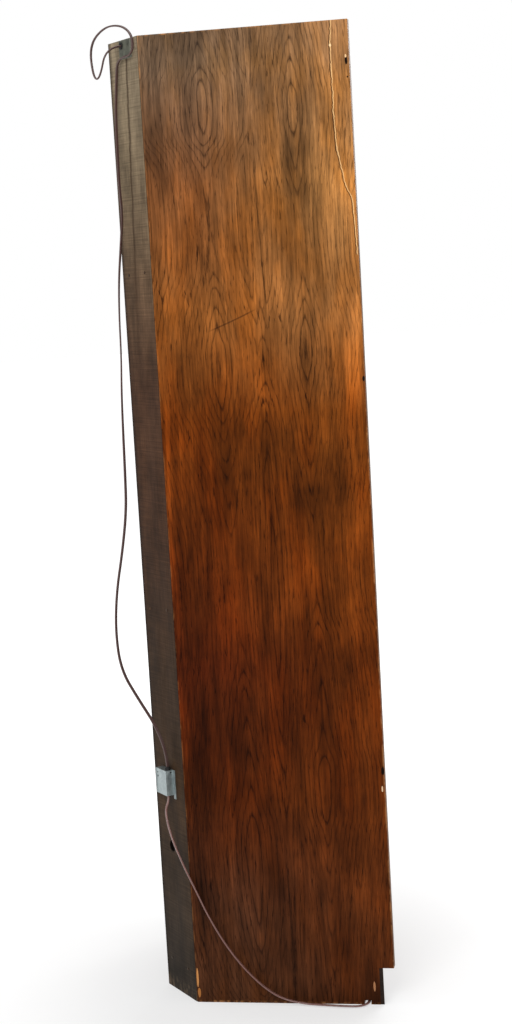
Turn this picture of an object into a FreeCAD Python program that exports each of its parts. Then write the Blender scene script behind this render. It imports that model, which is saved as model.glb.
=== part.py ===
import FreeCAD, Part
import os, math
from FreeCAD import Vector as V

os.makedirs("parts", exist_ok=True)

# ---------------------------------------------------------------- driving dimensions, mm
# Corner long-case clock. +Z up, the door faces -Y, the narrow rear spine is at +Y.
H = 1930.0            # case height
SPINE_W = 128.0       # width of the rear spine, outside
SIDE_W = 406.0        # width of each side panel, outside
SIDE_TURN = 50.0      # angle of each side panel from the spine plane, degrees
T = 19.0              # panel thickness
Y_SPINE = 165.814     # outer face of the spine
NOTCH_S, NOTCH_H = 30.0, 76.0   # toe notch in the side panels
TOE_T = 6.0           # toe board
ZC = 1600.0           # dial centre height
Y_DIAL = 46.0         # depth of the dial surround's back face behind the front plane
DOOR_X = 263.0        # half width of the door
DOOR_Z0, DOOR_Z1 = 128.0, 1848.0
DOOR_T = 19.0
PEND_L = 994.0        # pivot to bob centre: one second each way

c, s = math.cos(math.radians(SIDE_TURN)), math.sin(math.radians(SIDE_TURN))
BX = SPINE_W / 2.0
U = (-c, -s)          # along the left side panel, rear to front
N = (-s, c)           # outward normal of the left side panel
# front plane: through the inner front corners of the two side panels
FRONT = Y_SPINE - SIDE_W * s - T * c
PARTS = {}


def sp(a, n, sign=-1):
    """Plan point a along the side panel from the rear corner, n outward. sign +1 is the right side."""
    x = -BX + a * U[0] + n * N[0]
    y = Y_SPINE + a * U[1] + n * N[1]
    return (x if sign < 0 else -x, y)


def prism(pts, z0, z1):
    w = [V(p[0], p[1], z0) for p in pts]
    sh = Part.Face(Part.makePolygon(w + [w[0]])).extrude(V(0, 0, z1 - z0))
    return sh


def xz(pts, y0, y1):
    w = [V(p[0], y0, p[1]) for p in pts]
    return Part.Face(Part.makePolygon(w + [w[0]])).extrude(V(0, y1 - y0, 0))


def box(x0, x1, y0, y1, z0, z1):
    return Part.makeBox(x1 - x0, y1 - y0, z1 - z0, V(x0, y0, z0))


def cyl_y(x, z, r, y0, y1):
    return Part.makeCylinder(r, y1 - y0, V(x, y0, z), V(0, 1, 0))


def cyl_z(x, y, r, z0, z1):
    return Part.makeCylinder(r, z1 - z0, V(x, y, z0), V(0, 0, 1))


def cyl_x(y, z, r, x0, x1):
    return Part.makeCylinder(r, x1 - x0, V(x0, y, z), V(1, 0, 0))


def mirror_x(sh):
    return sh.mirror(V(0, 0, 0), V(1, 0, 0))


def add(name, sh):
    PARTS[name] = sh


def fd(d):
    """y of a depth d behind the front plane"""
    return FRONT + d


def half_in(d):
    """inside half width of the case at depth d behind the front plane"""
    return abs(sp(SIDE_W, -T)[0]) - d * c / s


# ---------------------------------------------------------------- case
def rear_inner():
    # inner corner where side and spine meet: a mitre
    k = T * math.tan(math.radians(SIDE_TURN / 2.0))
    return (-BX + k, Y_SPINE - T)


ri = rear_inner()
side = prism([(-BX, Y_SPINE), sp(SIDE_W, 0), sp(SIDE_W, -T), ri], 0, H)
Y_TOE = Y_SPINE - (SIDE_W - NOTCH_S) * s      # back of the notch, cut parallel to the front
notch = box(-400, 400, FRONT - 50, Y_TOE, -1, NOTCH_H)
side = side.cut(notch)
side_r = mirror_x(side)
# relief for the cord under the left panel
side = side.cut(prism([sp(343, 3), sp(357, 3), sp(357, -T - 3), sp(343, -T - 3)], -1, 8.6))

HOLE_X, HOLE_Z, HOLE_R = 6.0, 312.0, 11.0     # cable hole low in the spine
GRX, GRZ = 3.0, 1919.0                        # cord hole at the top of the spine
spine = prism([(-BX, Y_SPINE), (BX, Y_SPINE), (-ri[0], ri[1]), ri], 0, H)
spine = spine.cut(cyl_y(HOLE_X, HOLE_Z, HOLE_R, Y_SPINE - T - 1, Y_SPINE + 1))
spine = spine.cut(cyl_y(GRX, GRZ, 5.0, Y_SPINE - T - 1, Y_SPINE + 1))
# the spine's foot is worn back at one rear corner
spine = spine.cut(prism([(-BX - 1, Y_SPINE + 1), (-BX + 5, Y_SPINE + 1), (-BX - 1, Y_SPINE - 5)], -1, 14))
add("side_panel_left", side)
add("side_panel_right", side_r)
add("spine_panel", spine)


def deck(z0, z1, d0, gap=0.0):
    a = half_in(d0) - gap
    k = -ri[0] - 0.0
    pts = [(-a, fd(d0)), (a, fd(d0)), (k - gap, ri[1] - gap), (-k + gap, ri[1] - gap)]
    return prism(pts, z0, z1)


add("top_board", deck(1890, 1908, 19.0))
add("bottom_board", deck(NOTCH_H + 6, NOTCH_H + 24, 19.0))


def bar_front(x_in, z0, z1, depth=19.0):
    """full-width front member with bevelled ends against the side panels"""
    a, b = half_in(0), half_in(depth)
    if x_in is None:
        return prism([(-a, fd(0)), (a, fd(0)), (b, fd(depth)), (-b, fd(depth))], z0, z1)
    return prism([(-a, fd(0)), (-x_in, fd(0)), (-x_in, fd(depth)), (-b, fd(depth))], z0, z1)


add("head_rail", bar_front(None, DOOR_Z1 + 2, H - 4))
add("sill_rail", bar_front(None, NOTCH_H + 2, DOOR_Z0 - 2))
stile = bar_front(DOOR_X + 2, DOOR_Z0 - 2, DOOR_Z1 + 2)
add("front_stile_left", stile)
add("front_stile_right", mirror_x(stile))
# toe board on the notch edges, its ends trimmed flush with the side panels' outer faces
x_t = BX + (SIDE_W - NOTCH_S) * c
x_f = x_t + TOE_T * c / s
add("toe_board", prism([(-x_f, Y_TOE - TOE_T), (x_f, Y_TOE - TOE_T), (x_t, Y_TOE), (-x_t, Y_TOE)], 0.5, NOTCH_H - 0.5))
nails = []
for x, z in ((-36, 809), (38, 803), (-34, 1480), (36, 1476), (-30, 60), (40, 64)):
    nails.append(cyl_y(x, z, 2.6, Y_SPINE, Y_SPINE + 0.8))
add("rear_nails", Part.makeCompound(nails))

# ---------------------------------------------------------------- door
SW, RT, RB = 58.0, 62.0, 84.0         # stile and rail widths
GX = DOOR_X - SW                      # half opening
GZ0, GZ1 = DOOR_Z0 + RB, DOOR_Z1 - RT
RAB = 8.0
rab = box(-GX - RAB, GX + RAB, fd(10), fd(DOOR_T + 1), GZ0 - RAB, GZ1 + RAB)
ds = box(-DOOR_X, -GX, fd(0), fd(DOOR_T), DOOR_Z0, DOOR_Z1).cut(rab)
dr = mirror_x(ds)
HZ = (330.0, 988.0, 1646.0)           # hinge heights
PX, PY, KR = DOOR_X + 1.0, fd(-3.0), 2.8
add("door_stile_knob", ds.cut(cyl_y(-DOOR_X + 28, 1020, 3.0, fd(-1), fd(DOOR_T + 1))))
add("door_stile_hinge", dr)
add("door_rail_top", box(-GX, GX, fd(0), fd(DOOR_T), GZ1, DOOR_Z1).cut(rab))
add("door_rail_bottom", box(-GX, GX, fd(0), fd(DOOR_T), DOOR_Z0, GZ0).cut(rab))
add("door_glass", box(-GX - RAB + 1, GX + RAB - 1, fd(10), fd(13), GZ0 - RAB + 1, GZ1 + RAB - 1))
st = [box(-GX - RAB + 0.2, -GX - RAB + 7, fd(13), fd(18.5), GZ0 - RAB + 0.2, GZ1 + RAB - 0.2)]
st.append(mirror_x(st[0]))
st.append(box(-GX - RAB + 7, GX + RAB - 7, fd(13), fd(18.5), GZ0 - RAB + 0.2, GZ0 - RAB + 7))
st.append(box(-GX - RAB + 7, GX + RAB - 7, fd(13), fd(18.5), GZ1 + RAB - 7, GZ1 + RAB - 0.2))
add("glass_stops", Part.makeCompound(st))
kx = -DOOR_X + 28
knob = cyl_y(kx, 1020, 3.0, fd(-12), fd(DOOR_T)).fuse(cyl_y(kx, 1020, 8.0, fd(-3), fd(0)))
ball = Part.makeSphere(12.0, V(kx, fd(-16.5), 1020)).cut(box(kx - 20, kx + 20, fd(-40), fd(-26.3), 1000, 1040))
add("door_knob", knob.fuse(ball).removeSplitter())

hf, hd, hp = [], [], []
for hz in HZ:
    fx, dx = [], []
    # three knuckles: the outer two on the case, the middle one on the door
    for k0, k1, on_door in ((-30, -10.3, 0), (-10, 10, 1), (10.3, 30, 0)):
        r_b = 1.55 if on_door else 1.5
        kn = cyl_z(PX, PY, KR, hz + k0, hz + k1)
        if on_door:
            w = kn.fuse(box(PX - 6, PX - 1.5, fd(-1.2), fd(0), hz + k0, hz + k1))
            dx.append(w.cut(cyl_z(PX, PY, r_b, hz + k0 - 1, hz + k1 + 1)))
        else:
            w = kn.fuse(box(PX + 1.5, PX + 6, fd(-1.2), fd(0), hz + k0, hz + k1))
            fx.append(w.cut(cyl_z(PX, PY, r_b, hz + k0 - 1, hz + k1 + 1)))
    fx.append(box(PX + 4.0, PX + 24, fd(-1.2), fd(0), hz - 30, hz + 30))
    dx.append(box(PX - 24, PX - 4.0, fd(-1.2), fd(0), hz - 30, hz + 30))
    for k in (-20, 0, 20):
        fx.append(cyl_y(PX + 15, hz + k, 2.6, fd(-1.9), fd(-1.2)))
        dx.append(cyl_y(PX - 15, hz + k, 2.6, fd(-1.9), fd(-1.2)))
    f0, d0 = fx[0], dx[0]
    for q in fx[1:]:
        f0 = f0.fuse(q)
    for q in dx[1:]:
        d0 = d0.fuse(q)
    hf.append(f0.removeSplitter())
    hd.append(d0.removeSplitter())
    hp.append(cyl_z(PX, PY, 1.5, hz - 30, hz + 30).fuse(cyl_z(PX, PY, 2.4, hz + 30, hz + 32)).fuse(cyl_z(PX, PY, 2.4, hz - 32, hz - 30)))
add("hinge_fixed_leaves", Part.makeCompound(hf))
add("hinge_door_leaves", Part.makeCompound(hd))
add("hinge_pins", Part.makeCompound(hp))

# ---------------------------------------------------------------- dial
dw = half_in(Y_DIAL) - 0.2
dial = prism([(-half_in(Y_DIAL - 6) , fd(Y_DIAL - 6)), (half_in(Y_DIAL - 6), fd(Y_DIAL - 6)),
              (half_in(Y_DIAL), fd(Y_DIAL)), (-half_in(Y_DIAL), fd(Y_DIAL))], 1400, 1890)
dial = dial.cut(cyl_y(0, ZC, 8.0, fd(20), fd(60))).cut(cyl_y(0, ZC - 43.75, 6.0, fd(20), fd(60)))
add("dial_surround", dial)
dp = box(-150, 150, fd(Y_DIAL - 8), fd(Y_DIAL - 6), ZC - 150, ZC + 150)
arch = cyl_y(0, ZC + 150, 112, fd(Y_DIAL - 8), fd(Y_DIAL - 6)).cut(box(-150, 150, fd(20), fd(60), ZC - 20, ZC + 150))
dp = dp.fuse(arch).removeSplitter()
dp = dp.cut(cyl_y(0, ZC, 8.0, fd(20), fd(60))).cut(cyl_y(0, ZC - 43.75, 6.0, fd(20), fd(60)))
add("dial_plate", dp)
ring = cyl_y(0, ZC, 136, fd(Y_DIAL - 9.2), fd(Y_DIAL - 8)).cut(cyl_y(0, ZC, 98, fd(20), fd(60)))
mk = []
for k in range(12):
    a = math.radians(30 * k)
    w0, w1 = (5.0, 6.5) if k % 3 == 0 else (2.6, 3.6)
    q = []
    for r, w in ((104, -w0), (104, w0), (126, w1), (126, -w1)):
        q.append((r * math.sin(a) + w * math.cos(a), ZC + r * math.cos(a) - w * math.sin(a)))
    mk.append(xz(q, fd(Y_DIAL - 10.0), fd(Y_DIAL - 9.2)))


for q in mk:
    ring = ring.fuse(q)
add("chapter_ring", ring.removeSplitter())


def hand(y0, y1, r_tip, r_hub, w, bore, tail, pierced):
    hub = cyl_y(0, ZC, r_hub, y0, y1)
    blade = xz([(-w * 0.55, ZC), (-w * 0.35, ZC + r_tip * 0.42), (-w * 1.5, ZC + r_tip * 0.62), (0, ZC + r_tip),
                (w * 1.5, ZC + r_tip * 0.62), (w * 0.35, ZC + r_tip * 0.42), (w * 0.55, ZC), (w * 0.4, ZC - tail), (-w * 0.4, ZC - tail)], y0, y1)
    h = hub.fuse(blade)
    if pierced:
        h = h.cut(xz([(0, ZC + r_tip * 0.5), (-w * 0.8, ZC + r_tip * 0.63), (0, ZC + r_tip * 0.82), (w * 0.8, ZC + r_tip * 0.63)], y0 - 1, y1 + 1))
    return h.cut(cyl_y(0, ZC, bore, y0 - 1, y1 + 1)).removeSplitter()


def turn(sh, deg):
    q = sh.copy()
    q.rotate(V(0, 0, ZC), V(0, 1, 0), deg)
    return q


# hands at ten past ten; both are made upright, then turned clockwise
HOUR_DEG, MIN_DEG = 305.0, 60.0
add("hour_hand", turn(hand(fd(31.0), fd(32.4), 82, 9, 6.0, 5.0, 0.0, True), HOUR_DEG))
add("minute_hand", turn(hand(fd(26.5), fd(27.8), 122, 7, 5.0, 2.5, 22.0, True), MIN_DEG))


# ---------------------------------------------------------------- movement
def gear(x, z, n, m, y0, y1, phase, bore, thin=1.0, add_=0.9, ded=1.15, crossings=0):
    rp = n * m / 2.0
    ro, rr = rp + add_ * m, rp - ded * m
    pa = 2 * math.pi / n
    pts = []
    for k in range(n):
        a0 = math.radians(phase) + k * pa
        for da, r in ((-0.27 * thin, rr), (-0.10 * thin, ro), (0.10 * thin, ro), (0.27 * thin, rr)):
            a = a0 + da * pa
            pts.append((x + r * math.cos(a), z + r * math.sin(a)))
    g = xz(pts, y0, y1)
    if bore:
        g = g.cut(cyl_y(x, z, bore, y0 - 1, y1 + 1))
    if crossings:
        r1, r2 = rr - 2.6 * m, max(bore, 2.0) + 3.5
        for k in range(crossings):
            a0 = 2 * math.pi * k / crossings
            h = math.pi / crossings - 0.18
            arc = [(x + r1 * math.cos(a0 + t * h / 4), z + r1 * math.sin(a0 + t * h / 4)) for t in range(-4, 5)]
            arc += [(x + r2 * math.cos(a0 + t * h / 4 * 0.75), z + r2 * math.sin(a0 + t * h / 4 * 0.75)) for t in range(4, -5, -1)]
            g = g.cut(xz(arc, y0 - 1, y1 + 1))
    return g


Y_P0, Y_P1 = 58.0, 105.0              # front faces of the front and the back plate
PT = 3.0
GA = (0.0, ZC - 43.75)                # great wheel and drum axis
CA = (0.0, ZC)
TA = (17.5, ZC + math.sqrt(27.2 ** 2 - 17.5 ** 2))
EA = (0.0, TA[1] + math.sqrt(25.2 ** 2 - 17.5 ** 2))
AA = (0.0, EA[1] + 22.0)              # anchor and pendulum axis
MA = (-21.0, ZC)                      # minute wheel stud
RUN = 0.05
PIV = 1.5


def plate(y0, holes):
    p = box(-62, 62, fd(y0), fd(y0 + PT), ZC - 88, ZC + 86)
    for x, z, r in holes:
        p = p.cut(cyl_y(x, z, r, fd(y0 - 1), fd(y0 + PT + 1)))
    return p


holes = [(GA[0], GA[1], 3.0 + RUN), (CA[0], CA[1], PIV + RUN), (TA[0], TA[1], PIV + RUN), (EA[0], EA[1], PIV + RUN), (AA[0], AA[1], PIV + RUN)]
pil = [(x, z) for x in (-54, 54) for z in (ZC - 80, ZC + 78)]
pf = plate(Y_P0, holes + [(x, z, 3.0) for x, z in pil])
pb = plate(Y_P1, holes + [(x, z, 3.0) for x, z in pil])
pf = pf.fuse(cyl_y(MA[0], MA[1], 1.5, fd(Y_P0 - 10.5), fd(Y_P0 + PT)))
add("movement_front_plate", pf.removeSplitter())
add("movement_back_plate", pb)
pl = []
for x, z in pil:
    q = cyl_y(x, z, 5.0, fd(Y_P0 + PT), fd(Y_P1)).fuse(cyl_y(x, z, 3.0, fd(Y_P0 - 4), fd(Y_P1 + PT + 3)))
    pl.append(q.removeSplitter())
add("plate_pillars", Part.makeCompound(pl))

# going train; the phases put a tooth of one wheel in a gap of the next
ang = lambda a, b: math.degrees(math.atan2(b[1] - a[1], b[0] - a[0]))
a1 = ang(GA, CA)
gw = gear(GA[0], GA[1], 60, 1.25, fd(64), fd(67), a1, 5.0 + RUN, crossings=5)
add("great_wheel", gw)
cp = gear(CA[0], CA[1], 10, 1.25, fd(63), fd(68.5), a1 + 180 + 18, 0, thin=0.8)
c_arb = cyl_y(0, ZC, PIV, fd(24.0), fd(Y_P1 + PT + 1)).fuse(cyl_y(0, ZC, 2.5, fd(Y_P0 + PT + 0.5), fd(Y_P1 - 0.5)))
c_arb = c_arb.fuse(cp).fuse(cyl_y(0, ZC, 6.0, fd(73), fd(75)))
a2 = ang(CA, TA)
c_arb = c_arb.fuse(gear(CA[0], CA[1], 60, 0.8, fd(75), fd(77), a2, 2.5, crossings=5))
add("centre_wheel", c_arb.removeSplitter())
tp = gear(TA[0], TA[1], 8, 0.8, fd(74.3), fd(79), a2 + 180 + 22.5, 0, thin=0.75)
t_arb = cyl_y(TA[0], TA[1], PIV, fd(Y_P0 - 0.5), fd(Y_P1 + PT + 0.5)).fuse(tp)
a3 = ang(TA, EA)
tw = gear(TA[0], TA[1], 64, 0.7, fd(84), fd(86), a3, 0).fuse(t_arb)
add("third_wheel", tw.removeSplitter())
ep = gear(EA[0], EA[1], 8, 0.7, fd(83.3), fd(88), a3 + 180 + 22.5, 0, thin=0.75)
ew = []
for k in range(30):
    a0 = math.radians(12 * k + 90)
    ew.append((EA[0] + 12.2 * math.cos(a0), EA[1] + 12.2 * math.sin(a0)))
    ew.append((EA[0] + 15.0 * math.cos(a0 + 0.02), EA[1] + 15.0 * math.sin(a0 + 0.02)))
e_w = xz(ew, fd(94), fd(95.6)).fuse(cyl_y(EA[0], EA[1], PIV, fd(Y_P0 - 0.5), fd(Y_P1 + PT + 0.5))).fuse(ep).fuse(cyl_y(EA[0], EA[1], 4, fd(91), fd(94)))
add("escape_wheel", e_w.removeSplitter())
# anchor: arch-shaped, astride the escape wheel
an = xz([(-3.5, AA[1] + 4), (3.5, AA[1] + 4), (16.5, AA[1] - 6), (15.0, AA[1] - 13), (13.2, AA[1] - 11.0), (13.4, AA[1] - 7), (3.5, AA[1] - 3.5),
         (-3.5, AA[1] - 3.5), (-13.4, AA[1] - 7), (-13.2, AA[1] - 11.0), (-15.0, AA[1] - 13), (-16.5, AA[1] - 6)], fd(93.6), fd(96))
an = an.fuse(cyl_y(AA[0], AA[1], PIV, fd(Y_P0 - 0.5), fd(114)))

PY_ = 136.0                            # pendulum plane depth
cr = box(-2.2, 2.2, fd(110.5), fd(112), AA[1] - 150, AA[1] + 4)
cr = cr.fuse(box(-6.6, 6.6, fd(110.5), fd(112), AA[1] - 156, AA[1] - 150))
cr = cr.fuse(box(-6.6, -4.4, fd(112), fd(PY_ + 5), AA[1] - 156, AA[1] - 150)).fuse(box(4.4, 6.6, fd(112), fd(PY_ + 5), AA[1] - 156, AA[1] - 150))
add("anchor", an.fuse(cr).removeSplitter())
# drum on the winding arbor
dr_ = cyl_y(GA[0], GA[1], 15.2, fd(70.4), fd(98.0)).fuse(cyl_y(GA[0], GA[1], 17.5, fd(69), fd(70.4))).fuse(cyl_y(GA[0], GA[1], 17.5, fd(98.0), fd(99.4)))
dr_ = dr_.fuse(cyl_y(GA[0], GA[1], 5.0, fd(62), fd(103))).fuse(cyl_y(GA[0], GA[1], 3.0, fd(Y_P0 - 2), fd(Y_P1 + PT + 1)))
dr_ = dr_.fuse(box(GA[0] - 2, GA[0] + 2, fd(Y_DIAL - 3), fd(Y_P0 - 2), GA[1] - 2, GA[1] + 2))
add("cable_drum", dr_.removeSplitter())
# motion work between the dial and the front plate
can = gear(CA[0], CA[1], 14, 0.75, fd(52.0), fd(54.6), 180.0, 0, thin=0.85).fuse(cyl_y(0, ZC, 2.5, fd(26.5), fd(56.0)))
can = can.cut(cyl_y(0, ZC, PIV, fd(20), fd(60)))
add("cannon_pinion", can.removeSplitter())
mw = gear(MA[0], MA[1], 42, 0.75, fd(52.3), fd(54.3), 0.0 + 180.0 / 42, 0)
mw = mw.fuse(gear(MA[0], MA[1], 12, 0.7, fd(48.6), fd(52.3), 0.0, 0, thin=0.8)).cut(cyl_y(MA[0], MA[1], 1.5 + RUN, fd(40), fd(60)))
add("minute_wheel", mw.removeSplitter())
hw = gear(CA[0], CA[1], 48, 0.7, fd(49.2), fd(51.2), 180.0 + 180.0 / 48, 0).fuse(cyl_y(0, ZC, 5.0, fd(31.0), fd(49.2)))
hw = hw.cut(cyl_y(0, ZC, 2.5 + RUN, fd(20), fd(60)))
add("hour_wheel", hw.removeSplitter())

# seatboard, notched for the cable, and the cock that carries the pendulum
SB0, SB1 = ZC - 108.0, ZC - 88.0
sb = prism([(-half_in(50), fd(50)), (half_in(50), fd(50)), (half_in(112), fd(112)), (-half_in(112), fd(112))], SB0, SB1)
sb = sb.cut(box(-24, 24, fd(76), fd(94), SB0 - 1, SB1 + 1)).cut(box(-20, 20, fd(109), fd(113), SB0 - 1, SB1 + 1))
add("seatboard", sb)
ck = box(-14, 14, fd(Y_P1 + PT), fd(Y_P1 + PT + 5), AA[1] + 9, AA[1] + 24).fuse(box(-7, 7, fd(Y_P1 + PT), fd(PY_ + 14), AA[1] + 12, AA[1] + 22))
ck = ck.fuse(box(-7, 7, fd(PY_ + 8), fd(PY_ + 14), AA[1] - 6, AA[1] + 12)).fuse(cyl_y(0, AA[1], 2.0, fd(PY_ - 8), fd(PY_ + 8)))
add("pendulum_cock", ck.removeSplitter())

# pendulum
BZ = AA[1] - PEND_L
rod = cyl_z(0, fd(PY_), 4.0, BZ - 120, AA[1] - 8).fuse(cyl_y(0, AA[1], 8.0, fd(PY_ - 4), fd(PY_ + 4)))
rod = rod.cut(cyl_y(0, AA[1], 2.0 + RUN, fd(PY_ - 10), fd(PY_ + 10)))
add("pendulum_rod", rod.removeSplitter())
lens = Part.makeCone(72.0, 80.0, 6.0, V(0, fd(PY_ - 11), BZ), V(0, 1, 0)).fuse(Part.makeCylinder(80.0, 10.0, V(0, fd(PY_ - 5), BZ), V(0, 1, 0))).fuse(
    Part.makeCone(80.0, 72.0, 6.0, V(0, fd(PY_ + 5), BZ), V(0, 1, 0)))
bob = lens.cut(cyl_z(0, fd(PY_), 4.0, BZ - 100, BZ + 100)).removeSplitter()
add("pendulum_bob", bob)
nut = cyl_z(0, fd(PY_), 11.0, BZ - 92, BZ - 80.6).cut(cyl_z(0, fd(PY_), 4.0, BZ - 100, BZ - 70))
add("rating_nut", nut)

# weight on a pulley; the cable falls from the drum's right side
PR = 16.0
WZ = SB0 - 46.0                        # pulley centre
WY = 84.2                              # depth of the weight's axis
pul = cyl_y(0, WZ, 18.2, fd(WY - 4), fd(WY + 4))
groove = cyl_y(0, WZ, 20.0, fd(WY - 1.6), fd(WY + 1.6)).cut(cyl_y(0, WZ, PR - 1.2, fd(WY - 2), fd(WY + 2)))
pul = pul.cut(groove).cut(cyl_y(0, WZ, 2.0 + RUN, fd(WY - 8), fd(WY + 8)))
add("pulley", pul)
stp = box(-4, 4, fd(WY - 6.5), fd(WY - 4.6), WZ - 26, WZ + 5).fuse(box(-4, 4, fd(WY + 4.6), fd(WY + 6.5), WZ - 26, WZ + 5))
stp = stp.fuse(box(-4, 4, fd(WY - 6.5), fd(WY + 6.5), WZ - 30, WZ - 26)).fuse(cyl_y(0, WZ, 2.0, fd(WY - 7.5), fd(WY + 7.5)))
stp = stp.fuse(cyl_z(0, fd(WY), 3.0, WZ - 50, WZ - 30))
add("pulley_stirrup", stp.removeSplitter())
WT = WZ - 46.0
wt_ = cyl_z(0, fd(WY), 30.0, WT - 214, WT - 6).fuse(cyl_z(0, fd(WY), 31.5, WT - 8, WT)).fuse(cyl_z(0, fd(WY), 31.5, WT - 220, WT - 212))
wt_ = wt_.cut(cyl_z(0, fd(WY), 3.0, WT - 4, WT + 1))
add("weight", wt_.removeSplitter())
cb = Part.makeTorus(PR, 0.8, V(0, fd(WY), WZ), V(0, 1, 0)).cut(box(-30, 30, fd(WY - 5), fd(WY + 5), WZ, WZ + 30))
cb = cb.fuse(cyl_z(PR, fd(WY), 0.8, WZ, GA[1])).fuse(cyl_z(-PR, fd(WY), 0.8, WZ, SB0 + 8))
add("weight_cable", cb.removeSplitter())

# ---------------------------------------------------------------- lamp behind the head rail
LZ, LY = 1866.0, 30.0
CHZ = 1884.0
ch = box(-236, 236, fd(20.0), fd(39.0), CHZ, CHZ + 5.9)
add("lamp_channel", ch)
hl = []
for sg in (-1, 1):
    x0, x1 = sorted((sg * 219.5, sg * 231.0))
    hl.append(box(x0, x1, fd(21), fd(39), LZ - 14, CHZ))
add("lamp_holders", Part.makeCompound(hl))
tube = cyl_x(fd(LY), LZ, 8.0, -211, 211)
tube = tube.fuse(cyl_x(fd(LY), LZ, 8.2, -217, -211)).fuse(cyl_x(fd(LY), LZ, 8.2, 211, 217))
for z_ in (-3.0, 3.0):
    tube = tube.fuse(cyl_x(fd(LY), LZ + z_, 1.0, -219.5, 219.5))
add("lamp_tube", tube.removeSplitter())

# ---------------------------------------------------------------- cord hardware on the spine
pl_ = prism([(-39, Y_SPINE), (13, Y_SPINE), (13, Y_SPINE + 1.6), (-39, Y_SPINE + 1.6)], 1893, 1929)
pl_ = pl_.fuse(box(-39, -37, Y_SPINE, Y_SPINE + 3.2, 1893, 1929)).cut(cyl_y(GRX, GRZ, 5.0, Y_SPINE - 1, Y_SPINE + 5))
pl_ = pl_.fuse(cyl_y(-23, 1919, 2.2, Y_SPINE + 1.6, Y_SPINE + 2.4))
add("cord_plate", pl_.removeSplitter())
CR = 3.2                               # half of the flat cord's width
gr = cyl_y(GRX, GRZ, 5.0, Y_SPINE - 4, Y_SPINE + 1.6).fuse(cyl_y(GRX, GRZ, 6.8, Y_SPINE + 1.6, Y_SPINE + 3.2)).cut(cyl_y(GRX, GRZ, CR, Y_SPINE - 6, Y_SPINE + 6))
add("cord_grommet", gr.removeSplitter())
QX0, QX1, QZ0, QZ1, QD = -19.0, 24.4, 425.5, 477.5, 16.3
t_ = 1.2
case_ = box(QX0, QX1, Y_SPINE, Y_SPINE + QD, QZ0, QZ1).cut(box(QX0 + t_, QX1 - t_, Y_SPINE + t_, Y_SPINE + QD + 1, QZ0 + t_, QZ1 - t_))
case_ = case_.fuse(box(QX0 - 8, QX0 + t_, Y_SPINE, Y_SPINE + 1.2, QZ0 - 8, QZ1))
UX, LX, UO = -12.0, -8.0, 8.5
case_ = case_.cut(cyl_z(UX, Y_SPINE + UO, CR, QZ1 - 5, QZ1 + 5)).cut(cyl_z(LX, Y_SPINE + UO, CR, QZ0 - 5, QZ0 + 5))
case_ = case_.cut(box(QX0 - 1, QX0 + 2, Y_SPINE + 4, Y_SPINE + 7.5, QZ1 - 6, QZ1 - 3))
add("ballast_case", case_.removeSplitter())
cov = box(QX0, QX1, Y_SPINE + QD, Y_SPINE + QD + 1.0, QZ0, QZ1).fuse(box(QX1 - 3, QX1, Y_SPINE + QD + 1, Y_SPINE + QD + 1.6, QZ0, QZ1))
cov = cov.cut(cyl_y(QX1 - 8, QZ1 - 8, 1.6, Y_SPINE + QD - 1, Y_SPINE + QD + 3)).cut(cyl_y(QX1 - 8, QZ1 - 16, 2.0, Y_SPINE + QD - 1, Y_SPINE + QD + 3))
add("ballast_cover", cov.removeSplitter())
add("ballast_core", box(QX0 + 5, QX1 - 5, Y_SPINE + t_, Y_SPINE + 13, QZ0 + 9, QZ1 - 9))
cl = cyl_z(UX, Y_SPINE + UO, 5.6, QZ1, QZ1 + 4).fuse(cyl_z(UX, Y_SPINE + UO, 4.6, QZ1 + 4, QZ1 + 7)).cut(cyl_z(UX, Y_SPINE + UO, CR, QZ1 - 1, QZ1 + 9))
add("cord_clamp", cl.removeSplitter())

# ---------------------------------------------------------------- cords
# Each cord is straight runs joined by arcs tangent to both. UPPER and LOWER are the corners, world mm.
# Offsets are measured outward from the spine's face, so each is (x, offset, z).
UPPER = [(3.0, -4.0, 1919.0), (3.0, 34.0, 1919.0), (18.9, 44.0, 1857.0), (26.8, 54.0, 1859.7), (39.9, 52.0, 1924.5),
         (-6.7, 40.0, 1954.0), (-44.7, 20.0, 1952.0), (-63.3, 8.0, 1929.2), (-55.0, 7.5, 1894.2), (10.7, 7.5, 1896.6),
         (27.3, 5.0, 1853.1), (32.9, 8.0, 1790.1), (32.2, 10.0, 1722.3), (30.2, 12.0, 1648.3), (18.3, 15.0, 1593.1),
         (24.0, 20.0, 1535.0), (26.5, 28.0, 1468.7), (23.1, 34.0, 1394.2), (17.0, 38.0, 1319.4), (18.7, 42.0, 1244.3),
         (15.0, 46.0, 1165.0), (9.9, 50.0, 1089.7), (6.6, 54.0, 1014.1), (21.2, 62.0, 928.9), (35.4, 74.0, 847.5),
         (40.0, 80.0, 765.8), (47.9, 70.0, 684.8), (23.1, 46.0, 622.9), (-2.4, 24.0, 569.8), (-12.0, 8.5, 512.0), (-12.0, 8.5, 477.5)]
LOWER = [(-8.0, 8.5, 425.5), (-8.0, 8.5, 413.0), (-2.0, 14.0, 395.0), (-12.5, 18.0, 374.0), (-33.1, 20.0, 342.0), (-60.4, 10.0, 286.1), (-78.7, -3.5, 239.8),
         (-91.0, -19.8, 189.3), (-110.1, -42.5, 132.8), (-131.7, -66.7, 86.1), (-152.9, -91.9, 49.7), (-173.1, -116.0, 23.7),
         (-193.2, -138.4, 10.5), (-217.8, -165.6, 4.0), (-246.8, -192.7, 4.0), (-274.6, -220.2, 4.0), (-292.8, -241.6, 3.6), (-294.9, -257.8, 3.6),
         (-288.0, -272.6, 3.6), (-274.3, -281.4, 3.6), (-246.0, -282.0, 3.6), (-212.0, -280.0, 3.6), (-175.0, -281.4, 3.6)]
COIL_C, COIL_R, COIL_TURNS = (-175.0, -246.4), 35.0, 4


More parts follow.
